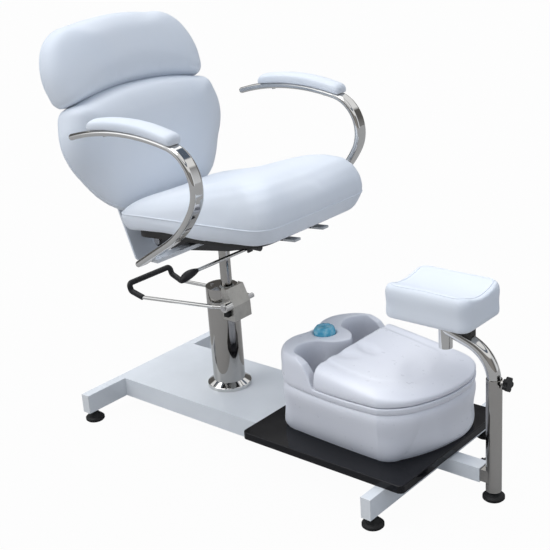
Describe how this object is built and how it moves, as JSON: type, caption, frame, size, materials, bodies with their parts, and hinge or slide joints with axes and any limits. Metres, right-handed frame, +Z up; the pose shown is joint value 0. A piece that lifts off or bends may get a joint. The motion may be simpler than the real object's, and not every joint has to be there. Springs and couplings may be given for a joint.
{
  "type": "pedicure spa chair",
  "caption": "Salon pedicure chair: padded seat, reclining back and curved arms on a pump column, with foot basin on a board and adjustable footrest.",
  "frame": {"origin": "on the floor under the middle of the chair's overall footprint box", "axes": "+X from the backrest towards the foot basin, +Y towards the sitter's left, +Z up"},
  "size_m": [1.304, 0.709, 1.1358],
  "materials": {
    "white_steel": "gloss white powder coat on square tube",
    "white_plastic": "satin white end plugs",
    "chrome": "bright chrome plating",
    "brushed": "satin plated steel",
    "steel": "plain steel, hidden or ground",
    "zinc": "zinc-plated fasteners",
    "black_gloss": "polished black board",
    "black_steel": "black painted steel",
    "black_board": "black stained plywood",
    "black_plastic": "fine-grained black plastic",
    "black_rubber": "matt black rubber",
    "upholstery": "smooth cool-white vinyl leather, piped seams",
    "basin_white": "semi-gloss white moulding",
    "blue": "glossy sky-blue plastic",
    "nylon": "natural nylon"
  },
  "bodies": {
    "base": {"rear_cross_tube": "white_steel", "front_cross_tube": "white_steel", "platform": "white_steel", "foot_board": "black_gloss", "board_screws": "zinc", "extension_sleeve": "white_steel", "tube_end_caps": "white_plastic", "pump_flange": "chrome", "pump_screws": "zinc", "pump_cylinder": "chrome", "pump_cap": "chrome", "ram_barrel": "steel", "ram_bush": "nylon", "lever_box": "brushed", "bumper_block": "black_rubber"},
    "foot_rear_near": {"foot_rear_near": "black_rubber"},
    "foot_rear_far": {"foot_rear_far": "black_rubber"},
    "foot_front_near": {"foot_front_near": "black_rubber"},
    "foot_front_far": {"foot_front_far": "black_rubber"},
    "clamp_knob": {"clamp_knob": "black_plastic"},
    "ram": {"ram": "chrome"},
    "seat": {"swivel_hub": "steel", "mech_frame": "black_steel", "seat_board": "black_board", "seat_bolts": "zinc", "seat_cushion": "upholstery", "arm_bar": "chrome", "arm_near": "chrome", "arm_far": "chrome", "arm_pad_near": "upholstery", "arm_pad_far": "upholstery", "arm_bolts": "zinc", "arm_caps": "chrome", "gas_cylinder": "black_steel"},
    "recline_lever": {"lever_rod": "chrome", "lever_grip": "black_plastic"},
    "gas_rod": {"gas_rod": "steel"},
    "back": {"back_bar": "chrome", "hinge_pin": "steel", "back_boards": "black_board", "back_cushion_lower": "upholstery", "back_cushion_upper": "upholstery", "back_screws": "zinc"},
    "pedal": {"pedal_rod": "chrome", "pedal_sleeve": "black_rubber", "pedal_hub": "chrome", "lever_shaft": "steel"},
    "pump_piston": {"pump_piston": "steel"},
    "extension": {"extension_tube": "chrome", "post": "chrome"},
    "post_foot": {"post_foot": "black_rubber"},
    "star_knob": {"star_knob": "black_plastic"},
    "arm_bush": {"arm_bush": "nylon"},
    "foot_arm": {"foot_arm": "chrome"},
    "footrest_cushion": {"cushion_board": "black_board", "foot_cushion": "upholstery"},
    "basin": {"basin_tub": "basin_white", "basin_base": "basin_white"},
    "basin_knob": {"basin_knob": "blue"},
    "basin_cover": {"basin_cover": "basin_white"}
  },
  "joints": [
    {"name": "foot_rear_near_turn", "type": "hinge", "parent": "base", "child": "foot_rear_near", "pos_m": [-0.56077, -0.265, 0.02], "axis": [0, 0, 1], "continuous": true},
    {"name": "foot_rear_far_turn", "type": "hinge", "parent": "base", "child": "foot_rear_far", "pos_m": [-0.56077, 0.265, 0.02], "axis": [0, 0, 1], "continuous": true},
    {"name": "foot_front_near_turn", "type": "hinge", "parent": "base", "child": "foot_front_near", "pos_m": [0.43623, -0.265, 0.02], "axis": [0, 0, 1], "continuous": true},
    {"name": "foot_front_far_turn", "type": "hinge", "parent": "base", "child": "foot_front_far", "pos_m": [0.43623, 0.265, 0.02], "axis": [0, 0, 1], "continuous": true},
    {"name": "clamp_knob_turn", "type": "hinge", "parent": "base", "child": "clamp_knob", "pos_m": [0.55923, 0.035, 0.065], "axis": [0, 1, 0], "continuous": true},
    {"name": "ram_lift", "type": "slide", "parent": "base", "child": "ram", "axis": [0, 0, 1], "range_m": [-0.045, 0.1]},
    {"name": "seat_swivel", "type": "hinge", "parent": "ram", "child": "seat", "pos_m": [-0.23577, 0, 0.53], "axis": [0, 0, 1], "continuous": true},
    {"name": "recline_lever_lift", "type": "hinge", "parent": "seat", "child": "recline_lever", "pos_m": [-0.06577, -0.086, 0.56], "axis": [-1, 0, 0], "range_deg": [0, 15], "stiffness_Nm_per_rad": 0.6, "springref_deg": -22.92},
    {"name": "back_recline", "type": "hinge", "parent": "seat", "child": "back", "pos_m": [-0.38877, 0, 0.534], "axis": [0, -1, 0], "range_deg": [0, 30]},
    {"name": "gas_rod_slide", "type": "slide", "parent": "seat", "child": "gas_rod", "axis": [-1, 0, 0], "range_m": [0, 0.01]},
    {"name": "pedal_press", "type": "hinge", "parent": "base", "child": "pedal", "pos_m": [-0.19577, 0, 0.355], "axis": [0, -1, 0], "range_deg": [0, 18], "stiffness_Nm_per_rad": 12, "springref_deg": -20.05},
    {"name": "pump_piston_slide", "type": "slide", "parent": "base", "child": "pump_piston", "axis": [0, 0, -1], "range_m": [0, 0.006]},
    {"name": "footrest_extend", "type": "slide", "parent": "base", "child": "extension", "axis": [1, 0, 0], "range_m": [0, 0.15]},
    {"name": "post_foot_turn", "type": "hinge", "parent": "extension", "child": "post_foot", "pos_m": [0.61023, 0, 0.02], "axis": [0, 0, 1], "continuous": true},
    {"name": "star_knob_turn", "type": "hinge", "parent": "extension", "child": "star_knob", "pos_m": [0.64423, 0, 0.318], "axis": [1, 0, 0], "continuous": true},
    {"name": "foot_arm_lift", "type": "slide", "parent": "extension", "child": "arm_bush", "axis": [0, 0, 1], "range_m": [0, 0.12]},
    {"name": "foot_arm_swing", "type": "hinge", "parent": "arm_bush", "child": "foot_arm", "pos_m": [0.61023, 0, 0.165], "axis": [0, 0, 1], "continuous": true},
    {"name": "cushion_lift_off", "type": "slide", "parent": "foot_arm", "child": "footrest_cushion", "axis": [0, 0, 1], "range_m": [0, 0.05]},
    {"name": "basin_push_out", "type": "slide", "parent": "base", "child": "basin", "axis": [0, 1, 0], "range_m": [-0.12, 0.12]},
    {"name": "basin_knob_turn", "type": "hinge", "parent": "basin", "child": "basin_knob", "pos_m": [0.10723, 0, 0.33], "axis": [0, 0, 1], "range_deg": [0, 270]},
    {"name": "basin_cover_lift_off", "type": "slide", "parent": "basin", "child": "basin_cover", "axis": [0, 0, 1], "range_m": [0, 0.04]}
  ],
  "couplings": [
    {"joint": "gas_rod_slide", "follows": "back_recline", "m_per_rad": 0.0178},
    {"joint": "pump_piston_slide", "follows": "pedal_press", "m_per_rad": 0.018}
  ]
}
